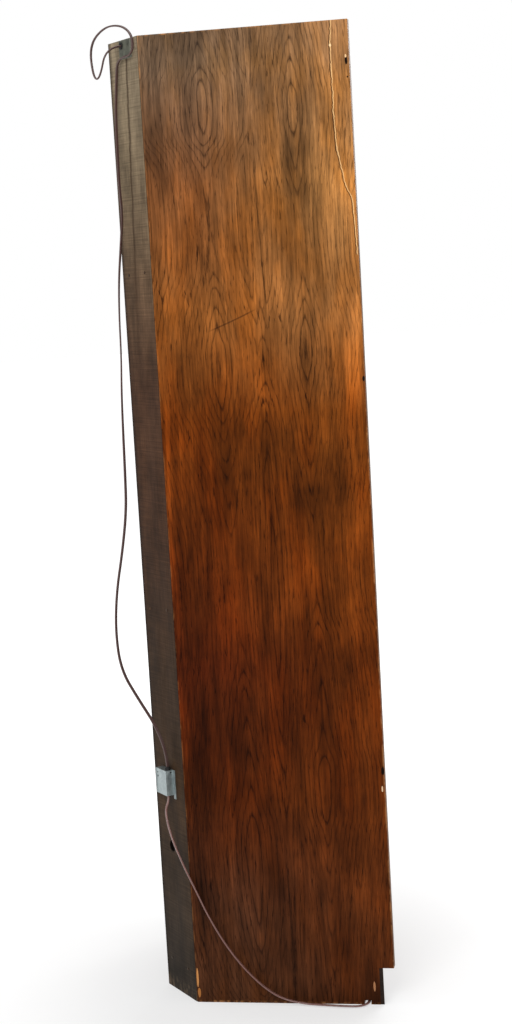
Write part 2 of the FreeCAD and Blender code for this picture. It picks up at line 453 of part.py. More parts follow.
def route(pts):
    """wire through the corner list: arc radius is 0.45 of the shorter run over tan(half turn)"""
    P = [V(*p) for p in pts]
    edges, radii = [], []
    cur = P[0]
    for i in range(1, len(P) - 1):
        a, b, d = P[i - 1], P[i], P[i + 1]
        u = (b - a) * (1.0 / (b - a).Length)
        w = (d - b) * (1.0 / (d - b).Length)
        th = math.acos(max(-1.0, min(1.0, u.dot(w))))
        run = 0.45 * min((b - a).Length, (d - b).Length)
        r = run / math.tan(th / 2.0)
        p0, p1 = b - u * run, b + w * run
        bis = (w - u)
        bis = bis * (1.0 / bis.Length)
        mid = b + bis * (r / math.cos(th / 2.0) - r)
        if (p0 - cur).Length > 1e-6:
            edges.append(Part.LineSegment(cur, p0).toShape())
        edges.append(Part.Arc(p0, mid, p1).toShape())
        radii.append(round(r, 1))
        cur = p1
    edges.append(Part.LineSegment(cur, P[-1]).toShape())
    return Part.Wire(edges), radii


def tube_on(pts, r, label):
    w, radii = route(pts)
    t0 = (V(*pts[1]) - V(*pts[0]))
    prof = Part.Wire([Part.Circle(V(*pts[0]), t0, r).toShape()])
    sh = w.makePipeShell([prof], True, False, 1)
    if isinstance(sh, Part.Shell):
        sh = Part.Solid(sh)
    L = w.Length
    print("CORD", label, "length", round(L, 1), "volume/section*L", round(sh.Volume / (math.pi * r * r * L), 4),
          "min radius", min(radii), "solid", sh.isValid(), sh.ShapeType, "zmin", round(sh.BoundBox.ZMin, 2))
    print("   radii", radii)
    return sh


off = lambda pts: [(x, Y_SPINE + o, z) for x, o, z in pts]
add("cord_upper", tube_on(off(UPPER), CR, "upper"))
add("cord_lower", tube_on(off(LOWER), CR, "lower"))
# the spare length lies in a small coil on the floor inside the base, with the plug beside it
COIL = [(COIL_C[0], COIL_C[1] - COIL_R, 3.6)]
k_r = COIL_R / math.cos(math.radians(15.0))
for k in range(COIL_TURNS * 12):
    a = math.radians(-75.0 + 30.0 * k)
    COIL.append((COIL_C[0] + k_r * math.cos(a), COIL_C[1] + k_r * math.sin(a), 3.6 + 6.9 * (k + 0.5) / 12.0))
e = COIL[-1]
COIL += [(COIL_C[0] + 26.0, COIL_C[1] - COIL_R + 2.0, e[2] - 1.0), (COIL_C[0] + 58.0, COIL_C[1] - COIL_R + 9.0, 11.0), (COIL_C[0] + 84.0, COIL_C[1] - COIL_R + 9.0, 8.0)]
add("cord_coil", tube_on(off(COIL), CR, "coil"))
px_, py_ = COIL[-1][0], Y_SPINE + COIL[-1][1]
plug = box(px_, px_ + 24, py_ - 10, py_ + 10, 1.0, 15.0).fuse(box(px_ + 24, px_ + 30, py_ - 12, py_ + 12, 0.0, 16.0))
for o_ in (-6.35, 6.35):
    plug = plug.fuse(box(px_ + 30, px_ + 47, py_ + o_ - 0.75, py_ + o_ + 0.75, 5.0, 11.2))
add("plug", plug.removeSplitter())
print("COIL", [tuple(round(v, 1) for v in q) for q in COIL])

# ---------------------------------------------------------------- export
nc = Part.makeCompound([sh for k, sh in PARTS.items() if k not in ("cord_upper", "cord_lower", "cord_coil", "plug")])
bb = nc.BoundBox
print("BBOX x", round(bb.XMin, 3), round(bb.XMax, 3), "y", round(bb.YMin, 3), round(bb.YMax, 3), "z", round(bb.ZMin, 3), round(bb.ZMax, 3), "centre y", round((bb.YMin + bb.YMax) / 2, 3))
for k, sh in PARTS.items():
    ok = sh.isValid()
    if not ok or sh.Volume <= 0:
        print("BAD", k, ok, sh.Volume)
    sh.exportStep("parts/%s.step" % k)
print(len(PARTS), "nodes; FRONT", round(FRONT, 3), "anchor z", round(AA[1], 3), "TA", TA, "EA", EA, "bob z", BZ)
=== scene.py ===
import math
import bpy
import bmesh
from mathutils import Matrix, Vector


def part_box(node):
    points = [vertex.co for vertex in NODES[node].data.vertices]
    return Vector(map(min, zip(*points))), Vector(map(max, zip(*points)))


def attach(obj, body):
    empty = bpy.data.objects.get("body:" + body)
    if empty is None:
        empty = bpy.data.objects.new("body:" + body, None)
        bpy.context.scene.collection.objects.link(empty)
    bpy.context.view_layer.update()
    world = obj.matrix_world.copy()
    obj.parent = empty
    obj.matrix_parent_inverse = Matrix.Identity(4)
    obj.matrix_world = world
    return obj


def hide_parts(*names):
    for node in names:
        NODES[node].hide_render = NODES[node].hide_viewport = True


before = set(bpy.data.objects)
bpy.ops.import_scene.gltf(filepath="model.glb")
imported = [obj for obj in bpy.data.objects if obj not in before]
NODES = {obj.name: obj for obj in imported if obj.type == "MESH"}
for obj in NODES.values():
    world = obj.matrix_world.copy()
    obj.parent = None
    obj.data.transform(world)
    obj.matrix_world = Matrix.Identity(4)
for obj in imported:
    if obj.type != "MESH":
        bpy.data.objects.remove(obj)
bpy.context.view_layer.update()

scene = bpy.context.scene

# ---------------------------------------------------------------- camera
YS = 0.165814                       # outer face of the spine
RGT = Vector((-0.49588918, -0.86653169, -0.05671651))
UP = Vector((0.08190828, -0.11169501, 0.99036118))
FWD = Vector((0.86451429, -0.48646384, -0.12636447))
cam_data = bpy.data.cameras.new("camera")
cam = bpy.data.objects.new("camera", cam_data)
scene.collection.objects.link(cam)
back = -FWD
cam.matrix_world = Matrix(((RGT.x, UP.x, back.x, -3.38991), (RGT.y, UP.y, back.y, 1.66970 + YS), (RGT.z, UP.z, back.z, 1.47318), (0, 0, 0, 1)))
cam_data.sensor_fit = "AUTO"
cam_data.sensor_width = 36.0
cam_data.lens = 1897.63 / 1024.0 * 36.0
cam_data.clip_end = 60
scene.camera = cam

# ---------------------------------------------------------------- cords: the routes are (x, offset from the spine's face, z), mm
UPPER = [(3.0, -4.0, 1919.0), (3.0, 34.0, 1919.0), (18.9, 44.0, 1857.0), (26.8, 54.0, 1859.7), (39.9, 52.0, 1924.5),
         (-6.7, 40.0, 1954.0), (-44.7, 20.0, 1952.0), (-63.3, 8.0, 1929.2), (-55.0, 7.5, 1894.2), (10.7, 7.5, 1896.6),
         (27.3, 5.0, 1853.1), (32.9, 8.0, 1790.1), (32.2, 10.0, 1722.3), (30.2, 12.0, 1648.3), (18.3, 15.0, 1593.1),
         (24.0, 20.0, 1535.0), (26.5, 28.0, 1468.7), (23.1, 34.0, 1394.2), (17.0, 38.0, 1319.4), (18.7, 42.0, 1244.3),
         (15.0, 46.0, 1165.0), (9.9, 50.0, 1089.7), (6.6, 54.0, 1014.1), (21.2, 62.0, 928.9), (35.4, 74.0, 847.5),
         (40.0, 80.0, 765.8), (47.9, 70.0, 684.8), (23.1, 46.0, 622.9), (-2.4, 24.0, 569.8), (-12.0, 8.5, 512.0), (-12.0, 8.5, 477.5)]
LOWER = [(-8.0, 8.5, 425.5), (-8.0, 8.5, 413.0), (-2.0, 14.0, 395.0), (-12.5, 18.0, 374.0), (-33.1, 20.0, 342.0), (-60.4, 10.0, 286.1), (-78.7, -3.5, 239.8),
         (-91.0, -19.8, 189.3), (-110.1, -42.5, 132.8), (-131.7, -66.7, 86.1), (-152.9, -91.9, 49.7), (-173.1, -116.0, 23.7),
         (-193.2, -138.4, 10.5), (-217.8, -165.6, 4.0), (-246.8, -192.7, 4.0), (-274.6, -220.2, 4.0), (-292.8, -241.6, 3.6), (-294.9, -257.8, 3.6),
         (-288.0, -272.6, 3.6), (-274.3, -281.4, 3.6), (-246.0, -282.0, 3.6), (-212.0, -280.0, 3.6), (-175.0, -281.4, 3.6)]
# the coil's own control points: twelve to a turn
COIL_C, COIL_R, COIL_TURNS = (-175.0, -246.4), 35.0, 4
COIL = []
k_r = COIL_R / math.cos(math.radians(15.0))
for k in range(COIL_TURNS * 12):
    a = math.radians(-75.0 + 30.0 * k)
    COIL.append((COIL_C[0] + k_r * math.cos(a), COIL_C[1] + k_r * math.sin(a), 3.6 + 6.9 * (k + 0.5) / 12.0))
e = COIL[-1]
COIL += [(COIL_C[0] + 26.0, COIL_C[1] - COIL_R + 2.0, e[2] - 1.0), (COIL_C[0] + 58.0, COIL_C[1] - COIL_R + 9.0, 11.0), (COIL_C[0] + 84.0, COIL_C[1] - COIL_R + 9.0, 8.0)]


def spline_points(name, pts):
    cu = bpy.data.curves.new(name + "_line", "CURVE")
    cu.dimensions = "3D"
    cu.resolution_u = 10
    sp = cu.splines.new("NURBS")
    sp.points.add(len(pts) - 1)
    for p, q in zip(sp.points, pts):
        p.co = (q[0] / 1000.0, YS + q[1] / 1000.0, q[2] / 1000.0, 1.0)
    sp.order_u = 3
    sp.use_endpoint_u = True
    ob = bpy.data.objects.new(name + "_line", cu)
    me = bpy.data.meshes.new_from_object(ob)
    out = [v.co.copy() for v in me.vertices]
    bpy.data.objects.remove(ob)
    bpy.data.curves.remove(cu)
    bpy.data.meshes.remove(me)
    return out


def twin_section():
    """outline of a two-conductor flat cord: two round cores side by side with a groove between"""
    r, c = 1.68e-3, 1.50e-3
    pts = []
    for k in range(13):
        a = math.radians(-118 + 236 * k / 12.0)
        pts.append((c + r * math.cos(a), r * math.sin(a)))
    pts += [(-x, y) for x, y in reversed(pts)]
    return pts[:13] + [(-x, y) for x, y in reversed(pts[:13])]


def twin_tube(name, path, wide, twist):
    sec = twin_section()
    bm = bmesh.new()
    n = len(path)
    tang = [((path[min(i + 1, n - 1)] - path[max(i - 1, 0)])).normalized() for i in range(n)]
    u = Vector(wide)
    u = (u - tang[0] * u.dot(tang[0])).normalized()
    rings, s = [], 0.0
    for i in range(n):
        t = tang[i]
        u = (u - t * u.dot(t)).normalized()
        if i:
            s += (path[i] - path[i - 1]).length
        w = t.cross(u)
        a = twist(s)
        uu = u * math.cos(a) + w * math.sin(a)
        ww = t.cross(uu)
        rings.append([bm.verts.new(path[i] + uu * x + ww * y) for x, y in sec])
    m = len(sec)
    for i in range(n - 1):
        for j in range(m):
            bm.faces.new((rings[i][j], rings[i][(j + 1) % m], rings[i + 1][(j + 1) % m], rings[i + 1][j]))
    bm.faces.new(list(reversed(rings[0])))
    bm.faces.new(rings[-1])
    bmesh.ops.recalc_face_normals(bm, faces=bm.faces)
    me = bpy.data.meshes.new(name)
    bm.to_mesh(me)
    bm.free()
    for p in me.polygons:
        p.use_smooth = True
    ob = bpy.data.objects.new(name, me)
    scene.collection.objects.link(ob)
    return ob, s


up_path = spline_points("upper", UPPER)
upper, up_len = twin_tube("lamp_cord_upper", up_path, (1, 0, 0), lambda s: 0.35 * math.sin(s * 5.0) + 0.25 * math.sin(s * 11.0 + 1.0))
low_path = spline_points("lower", LOWER + COIL)
lower, low_len = twin_tube("lamp_cord_lower", low_path, (1, 0, 0), lambda s: 0.9 * math.sin(s * 3.2) if s < 0.9 else 0.9 * math.sin(0.9 * 3.2))
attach(upper, "case")
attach(lower, "case")
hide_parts("cord_upper")
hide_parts("cord_lower", "cord_coil")


# ---------------------------------------------------------------- node helpers
def lin(c):
    return tuple((v / 255.0 / 12.92) if v / 255.0 <= 0.04045 else ((v / 255.0 + 0.055) / 1.055) ** 2.4 for v in c) + (1.0,)


class G:
    """a small builder for shader node graphs"""

    def __init__(self, name):
        self.mat = bpy.data.materials.new(name)
        self.mat.use_nodes = True
        self.nt = self.mat.node_tree
        self.b = self.nt.nodes["Principled BSDF"]
        self.tc = self.nt.nodes.new("ShaderNodeTexCoord")
        self.pos = self.tc.outputs["Object"]

    def n(self, kind):
        return self.nt.nodes.new(kind)

    def put(self, v, sock):
        if isinstance(v, (int, float)):
            sock.default_value = v
        elif isinstance(v, (tuple, list)):
            sock.default_value = v
        else:
            self.nt.links.new(v, sock)

    def m(self, op, a, b=None, c=None, clamp=False):
        x = self.n("ShaderNodeMath")
        x.operation = op
        x.use_clamp = clamp
        self.put(a, x.inputs[0])
        if b is not None:
            self.put(b, x.inputs[1])
        if c is not None:
            self.put(c, x.inputs[2])
        return x.outputs[0]

    def dot(self, v, k, off=(0, 0, 0)):
        s = self.n("ShaderNodeVectorMath")
        s.operation = "SUBTRACT"
        self.put(v, s.inputs[0])
        s.inputs[1].default_value = off
        d = self.n("ShaderNodeVectorMath")
        d.operation = "DOT_PRODUCT"
        self.nt.links.new(s.outputs[0], d.inputs[0])
        d.inputs[1].default_value = k
        return d.outputs["Value"]

    def vec(self, x, y, z):
        c = self.n("ShaderNodeCombineXYZ")
        self.put(x, c.inputs[0])
        self.put(y, c.inputs[1])
        self.put(z, c.inputs[2])
        return c.outputs[0]

    def noise(self, v, scale=1.0, detail=3.0, rough=0.5, dist=0.0):
        t = self.n("ShaderNodeTexNoise")
        self.put(v, t.inputs["Vector"])
        t.inputs["Scale"].default_value = scale
        t.inputs["Detail"].default_value = detail
        t.inputs["Roughness"].default_value = rough
        t.inputs["Distortion"].default_value = dist
        return t.outputs[0]

    def voro(self, v, scale, feature="F1", out="Distance", rnd=1.0):
        t = self.n("ShaderNodeTexVoronoi")
        t.feature = feature
        self.put(v, t.inputs["Vector"])
        t.inputs["Scale"].default_value = scale
        t.inputs["Randomness"].default_value = rnd
        return t.outputs[out]

    def ramp(self, f, stops, interp="LINEAR"):
        r = self.n("ShaderNodeValToRGB")
        r.color_ramp.interpolation = interp
        el = r.color_ramp.elements
        while len(el) < len(stops):
            el.new(0.5)
        for q, (p, c) in zip(el, stops):
            q.position = p
            q.color = c if isinstance(c, (tuple, list)) else (c, c, c, 1)
        self.put(f, r.inputs[0])
        return r.outputs[0]

    def mix(self, f, a, b, kind="MIX"):
        x = self.n("ShaderNodeMix")
        x.data_type = "RGBA"
        x.blend_type = kind
        x.clamp_result = False
        self.put(f, x.inputs[0])
        self.put(a, x.inputs[6])
        self.put(b, x.inputs[7])
        return x.outputs[2]

    def curve(self, f, pts, auto=True):
        c = self.n("ShaderNodeFloatCurve")
        cv = c.mapping.curves[0]
        cv.points[0].location = pts[0]
        cv.points[1].location = pts[-1]
        for p in pts[1:-1]:
            cv.points.new(*p)
        for p in cv.points:
            p.handle_type = "AUTO" if auto else "VECTOR"
        c.mapping.update()
        self.put(f, c.inputs["Value"])
        return c.outputs[0]

    def band(self, x, lo, hi, soft):
        """1 between lo and hi, with soft edges"""
        a = self.m("MULTIPLY_ADD", x, 1.0 / soft, -lo / soft, clamp=True)
        b = self.m("MULTIPLY_ADD", x, -1.0 / soft, hi / soft, clamp=True)
        return self.m("MULTIPLY", a, b)

    def bump(self, h, strength, dist, normal=None):
        b = self.n("ShaderNodeBump")
        b.inputs["Strength"].default_value = strength
        b.inputs["Distance"].default_value = dist
        self.put(h, b.inputs["Height"])
        if normal is not None:
            self.put(normal, b.inputs["Normal"])
        return b.outputs[0]

    def out(self, color=None, rough=None, normal=None, metal=None, coat=None, spec=None, alpha=None):
        b = self.b
        if color is not None:
            self.put(color, b.inputs["Base Color"])
        if rough is not None:
            self.put(rough, b.inputs["Roughness"])
        if normal is not None:
            self.put(normal, b.inputs["Normal"])
        if metal is not None:
            b.inputs["Metallic"].default_value = metal
        if spec is not None:
            b.inputs["Specular IOR Level"].default_value = spec
        if coat is not None:
            b.inputs["Coat Weight"].default_value = coat
        return self.mat


def paint(mat, *names):
    for nm in names:
        o = NODES[nm]
        if not o.material_slots:
            o.data.materials.append(mat)
        for sl in o.material_slots:
            sl.material = mat


# ---------------------------------------------------------------- oak veneer of the two side panels
CS, SN = math.cos(math.radians(50)), math.sin(math.radians(50))


def oak_parts(g, s, t, w, seed, ridges):
    """growth-ring figure, pores and fibre for flat-sawn oak: s across, t along the grain, w depth; metres"""
    so = g.m("ADD", s, seed)
    slow = g.noise(g.vec(g.m("MULTIPLY", so, 9.0), g.m("MULTIPLY", t, 2.6), seed), 1.0, 2.0, 0.5)
    quick = g.noise(g.vec(g.m("MULTIPLY", so, 55.0), g.m("MULTIPLY", t, 11.0), seed + 5.0), 1.0, 3.0, 0.6)
    sw = g.m("ADD", s, g.m("MULTIPLY_ADD", slow, 0.022, -0.011))
    sw = g.m("ADD", sw, g.m("MULTIPLY_ADD", quick, 0.0080, -0.0040))
    fields, tips = [], []
    for line, w0, top, pts in ridges:
        c0 = g.m("MULTIPLY_ADD", t, (line[1] - line[0]) / 1.93, line[0])
        d = g.m("DIVIDE", g.m("SUBTRACT", sw, c0), w0)
        tips.append(g.m("MULTIPLY_ADD", g.m("ABSOLUTE", d), -1.0 / 1.7, 1.0, clamp=True))
        d = g.m("DIVIDE", g.m("MULTIPLY", d, d), g.m("ADD", g.m("ABSOLUTE", d), 1.0))
        h = g.curve(g.m("MULTIPLY", t, 1.0 / 1.93), [(q / 1.93, v / top) for q, v in pts])
        fields.append(g.m("MULTIPLY_ADD", h, top, d))
    f = fields[0]
    for q in fields[1:]:
        x = g.n("ShaderNodeMath")
        x.operation = "SMOOTH_MIN"
        g.put(f, x.inputs[0])
        g.put(q, x.inputs[1])
        x.inputs[2].default_value = 0.8
        f = x.outputs[0]
    ph = g.m("FRACT", f)
    part = g.noise(g.vec(g.m("MULTIPLY", so, 22.0), g.m("MULTIPLY", t, 6.5), seed + 8.0), 1.0, 3.0, 0.6)
    part = g.ramp(part, [(0.38, 0.06), (0.64, 0.72)])
    core = g.m("SUBTRACT", 1.0, g.m("MULTIPLY", f, 1.0 / 6.0), clamp=True)
    part = g.m("MAXIMUM", part, g.m("MULTIPLY", core, 0.95))
    line = g.ramp(ph, [(0.0, 1.0), (0.07, 0.5), (0.20, 0.14), (0.5, 0.0), (0.86, 0.06), (0.95, 0.6), (1.0, 1.0)])
    line = g.m("MULTIPLY", line, part)
    # the rings thicken and feather where they turn over at the top of each column
    tip = g.m("MAXIMUM", tips[0], g.m("MAXIMUM", tips[1], tips[2]))
    feather = g.noise(g.vec(g.m("MULTIPLY", so, 240.0), g.m("MULTIPLY", t, 30.0), seed), 1.0, 3.0, 0.6)
    tip = g.m("MULTIPLY", tip, g.ramp(feather, [(0.40, 0.25), (0.58, 1.0)]))
    line = g.m("MAXIMUM", line, g.m("MULTIPLY", tip, g.ramp(ph, [(0.0, 0.9), (0.10, 0.75), (0.26, 0.0), (0.93, 0.0), (1.0, 0.9)])))
    # fibre streaks, and the open pores of ring-porous wood as short dark dashes
    fib = g.noise(g.vec(g.m("MULTIPLY", so, 330.0), g.m("MULTIPLY", t, 9.0), g.m("MULTIPLY", w, 120.0)), 1.0, 4.0, 0.65)
    # pores follow the rings: across the figure they are laid out along the field itself
    across = g.m("ADD", g.m("MULTIPLY", sw, 210.0), g.m("MULTIPLY", f, 0.9))
    p1 = g.noise(g.vec(across, g.m("MULTIPLY", t, 15.0), g.m("MULTIPLY", w, 200.0)), 1.0, 3.0, 0.7)
    p2 = g.noise(g.vec(g.m("MULTIPLY", sw, 620.0), g.m("MULTIPLY", t, 34.0), g.m("MULTIPLY", w, 300.0)), 1.0, 2.0, 0.55)
    lift = g.ramp(ph, [(0.0, 0.085), (0.35, 0.03), (0.7, 0.0), (1.0, 0.085)])
    patch = g.noise(g.vec(g.m("MULTIPLY", so, 16.0), g.m("MULTIPLY", t, 5.0), seed + 14.0), 1.0, 3.0, 0.6)
    lift = g.m("ADD", lift, g.m("MULTIPLY_ADD", patch, 0.22, -0.11))
    p1 = g.ramp(g.m("SUBTRACT", p1, lift), [(0.25, 1.0), (0.33, 0.0)])
    p2 = g.ramp(g.m("SUBTRACT", p2, lift), [(0.29, 1.0), (0.37, 0.0)])
    pore = g.m("MAXIMUM", p1, g.m("MULTIPLY", p2, 0.8))
    return line, fib, pore, f


def side_material(name, sign, seed, marks):
    g = G(name)
    U = (CS if sign > 0 else -CS, -SN, 0.0)
    NN = (SN if sign > 0 else -SN, CS, 0.0)
    O = (0.064 if sign > 0 else -0.064, YS, 0.0)
    s, n = g.dot(g.pos, U, O), g.dot(g.pos, NN, O)
    t = g.dot(g.pos, (0, 0, 1))
    # three columns of cathedral figure: where each line of rings tops out, its half width per ring and its height in rings
    left = ((0.140, 0.116), 0.0098, 8.0, [(0.0, 6.0), (0.10, 2.2), (0.20, 0.7), (0.30, 0.25), (0.42, 1.6), (0.63, 4.6), (0.85, 7.4), (1.02, 6.0), (1.12, 3.6), (1.18, 2.0), (1.222, 0.75), (1.288, 0.1),
                                           (1.352, 0.75), (1.43, 2.6), (1.58, 5.0), (1.70, 2.9), (1.787, 0.5), (1.86, 2.0), (1.93, 3.6)])
    right = ((0.284, 0.296), 0.0085, 8.0, [(0.0, 6.8), (0.2, 4.2), (0.36, 1.5), (0.443, 0.3), (0.535, 1.6), (0.66, 3.0), (0.75, 4.2), (0.9, 6.4), (1.05, 4.8), (1.13, 3.2), (1.215, 1.9), (1.271, 0.75), (1.319, 0.1),
                                             (1.366, 0.75), (1.42, 2.2), (1.464, 3.1), (1.55, 3.5), (1.647, 2.2), (1.72, 1.1), (1.78, 0.4), (1.815, 0.9), (1.88, 2.4), (1.93, 3.8)])
    mid = ((0.205, 0.212), 0.0082, 9.0, [(0.0, 5.0), (0.3, 4.6), (0.6, 1.6), (0.8, 0.6), (1.0, 1.1), (1.144, 2.3), (1.193, 3.3), (1.3, 6.0), (1.5, 8.6), (1.93, 8.6)])
    line, fib, pore, f = oak_parts(g, s, t, n, seed, (left, right, mid))
    tz = g.m("MULTIPLY", t, 1.0 / 1.93)
    # colour by height for the rear and front halves: partly the oak's own tone, partly painted light: darker towards
    # the foot, a painted highlight up the front half and a greyish painted sheen at the top
    rear_tone_and_light = g.ramp(tz, [(0.0, lin((82, 50, 32))), (0.10, lin((78, 46, 30))), (0.22, lin((78, 34, 8))), (0.36, lin((72, 28, 7))), (0.50, lin((92, 42, 9))), (0.62, lin((106, 52, 11))),
                     (0.72, lin((126, 76, 34))), (0.85, lin((114, 72, 42))), (0.97, lin((104, 84, 68)))])
    front_tone_and_light = g.ramp(tz, [(0.0, lin((74, 38, 18))), (0.10, lin((80, 40, 16))), (0.22, lin((94, 44, 11))), (0.36, lin((84, 38, 7))), (0.50, lin((100, 50, 12))), (0.62, lin((112, 60, 18))),
                     (0.71, lin((136, 90, 50))), (0.85, lin((148, 104, 60))), (0.97, lin((134, 100, 70)))])
    base = g.mix(g.ramp(s, [(0.10, 0.0), (0.34, 1.0)]), rear_tone_and_light, front_tone_and_light)
    # broad light and dark clouds of old finish, stretched along the grain
    cloud = g.noise(g.vec(g.m("MULTIPLY", s, 9.0), g.m("MULTIPLY", t, 3.2), seed + 3.0), 1.0, 4.0, 0.6)
    cl = g.ramp(cloud, [(0.30, 0.42), (0.42, 0.80), (0.54, 1.08), (0.70, 1.55)])
    col = g.mix(1.0, base, cl, "MULTIPLY")
    mott = g.noise(g.vec(g.m("MULTIPLY", s, 24.0), g.m("MULTIPLY", t, 7.5), seed + 21.0), 1.0, 4.0, 0.65)
    col = g.mix(0.9, col, g.ramp(mott, [(0.32, 0.70), (0.5, 1.0), (0.68, 1.30)]), "MULTIPLY")
    hue = g.noise(g.vec(g.m("MULTIPLY", s, 14.0), g.m("MULTIPLY", t, 4.2), seed + 30.0), 1.0, 3.0, 0.6)
    col = g.mix(g.ramp(hue, [(0.35, 0.75), (0.52, 0.0)]), col, g.mix(1.0, col, (0.86, 0.93, 1.06, 1), "MULTIPLY"))
    col = g.mix(g.ramp(hue, [(0.5, 0.0), (0.68, 0.8)]), col, g.mix(1.0, col, (1.18, 1.02, 0.66, 1), "MULTIPLY"))
    streak = g.noise(g.vec(g.m("MULTIPLY", s, 70.0), g.m("MULTIPLY", t, 3.0), seed + 9.0), 1.0, 4.0, 0.62)
    col = g.mix(0.9, col, g.ramp(streak, [(0.25, 0.52), (0.5, 1.0), (0.75, 1.50)]), "MULTIPLY")
    fb = g.ramp(fib, [(0.22, 0.46), (0.5, 1.0), (0.78, 1.60)])
    col = g.mix(0.9, col, fb, "MULTIPLY")
    # latewood lines and pores, grey where the old finish has gone
    dark = g.mix(1.0, col, (0.15, 0.15, 0.19, 1), "MULTIPLY")
    col = g.mix(g.m("MULTIPLY", line, 0.95), col, dark)
    dk = g.mix(1.0, col, (0.16, 0.15, 0.17, 1), "MULTIPLY")
    col = g.mix(g.m("MULTIPLY", pore, 0.82), col, dk)
    # darker finish left along the rear edge low down, lighter golden streaks near the front edge half way up
    rear = g.m("MULTIPLY", g.band(s, -0.02, 0.085, 0.06), g.band(t, -0.1, 0.80, 0.25))
    col = g.mix(g.m("MULTIPLY", rear, 0.6), col, g.mix(1.0, col, lin((130, 120, 124)), "MULTIPLY"))
    gold = g.m("MULTIPLY", g.band(s, 0.352, 0.42, 0.025), g.band(t, 0.80, 1.46, 0.18))
    col = g.mix(g.m("MULTIPLY", gold, 0.7), col, g.mix(1.0, col, (1.65, 1.55, 1.4, 1), "MULTIPLY"))
    # rubbed lighter along the arris at the rear edge, half way up
    rub = g.m("MULTIPLY", g.band(s, -0.01, 0.024, 0.014), g.band(t, 0.55, 1.25, 0.15))
    col = g.mix(g.m("MULTIPLY", rub, g.ramp(streak, [(0.44, 0.0), (0.6, 0.8)])), col, g.mix(1.0, col, (1.7, 1.6, 1.6, 1), "MULTIPLY"))
    # worn edges: light wood shows through in broken patches
    wn = g.noise(g.vec(g.m("MULTIPLY", s, 90.0), g.m("MULTIPLY", t, 24.0), 2.0), 1.0, 3.0, 0.7)
    ends = g.m("MAXIMUM", g.band(t, -0.01, 0.062, 0.02), g.band(t, 1.80, 1.94, 0.08))
    arris = g.m("MULTIPLY", g.band(s, -0.01, 0.0030, 0.002), g.m("MAXIMUM", ends, 0.22))
    low = g.m("MULTIPLY", g.band(t, -0.01, 0.0055, 0.004), g.m("MAXIMUM", g.band(s, -0.01, 0.12, 0.05), 0.45))
    top = g.m("MULTIPLY", g.band(t, 1.9268, 1.94, 0.0022), g.m("MAXIMUM", g.band(s, -0.01, 0.09, 0.04), 0.55))
    edge = g.m("MAXIMUM", arris, g.m("MAXIMUM", g.m("MULTIPLY", g.band(s, 0.4028, 0.42, 0.002), g.m("MAXIMUM", g.band(t, 1.70, 1.94, 0.05), 0.5)), g.m("MAXIMUM", low, top)))
    wear = g.m("MULTIPLY", edge, g.ramp(wn, [(0.46, 0.0), (0.60, 1.0)]))
    col = g.mix(g.m("MULTIPLY", wear, 0.9), col, lin((186, 136, 90)))
    # black stain and grime along the foot
    grime = g.m("MULTIPLY", g.band(t, -0.1, 0.045, 0.07), g.ramp(cloud, [(0.35, 0.35), (0.62, 1.0)]))
    toe = g.m("MULTIPLY", g.band(s, 0.325, 0.42, 0.05), g.band(t, -0.1, 0.07, 0.06))
    col = g.mix(g.m("MULTIPLY", g.m("MAXIMUM", g.m("MULTIPLY", grime, 0.55), g.m("MULTIPLY", toe, 0.85)), 0.9), col, g.mix(1.0, col, (0.18, 0.18, 0.2, 1), "MULTIPLY"))
    height = g.m("SUBTRACT", g.m("MULTIPLY", fib, 0.35), g.m("ADD", g.m("MULTIPLY", pore, 0.6), g.m("MULTIPLY", line, 0.25)))
    if marks:
        # the long pale split in the veneer, its path given as s for each height
        pts = [(0.770, 0.4040), (0.785, 0.4030), (0.827, 0.3998), (0.842, 0.3865), (0.855, 0.3830), (0.869, 0.3772), (0.883, 0.3734), (0.8965, 0.3728),
               (0.913, 0.3712), (0.929, 0.3723), (0.952, 0.3716), (0.976, 0.3713), (1.0, 0.3745)]
        sc = g.curve(tz, [(0.0, 0.44), (0.76, 0.44)] + [(a_, (b_ - 0.36) / 0.1 + 0.0) for a_, b_ in pts], auto=False)
        sc = g.m("MULTIPLY_ADD", sc, 0.1, 0.36)
        jit = g.noise(g.vec(0.0, g.m("MULTIPLY", t, 60.0), 7.0), 1.0, 3.0, 0.7)
        sc = g.m("ADD", sc, g.m("MULTIPLY_ADD", jit, 0.005, -0.0025))
        dd = g.m("ABSOLUTE", g.m("SUBTRACT", s, sc))
        on = g.band(t, 1.49, 1.94, 0.004)
        wdt = g.m("MULTIPLY_ADD", g.noise(g.vec(3.0, g.m("MULTIPLY", t, 40.0), 1.0), 1.0, 2.0, 0.6), 0.0020, -0.0002)
        crack = g.m("MULTIPLY", on, g.m("LESS_THAN", dd, wdt))
        shade = g.m("MULTIPLY", on, g.m("LESS_THAN", g.m("ABSOLUTE", g.m("SUBTRACT", s, g.m("ADD", sc, -0.0022))), 0.0011))
        col = g.mix(g.m("MULTIPLY", shade, 0.7), col, lin((48, 30, 22)))
        col = g.mix(g.m("MULTIPLY", crack, 0.95), col, lin((226, 188, 140)))
        height = g.m("SUBTRACT", height, g.m("MULTIPLY", crack, 2.0))
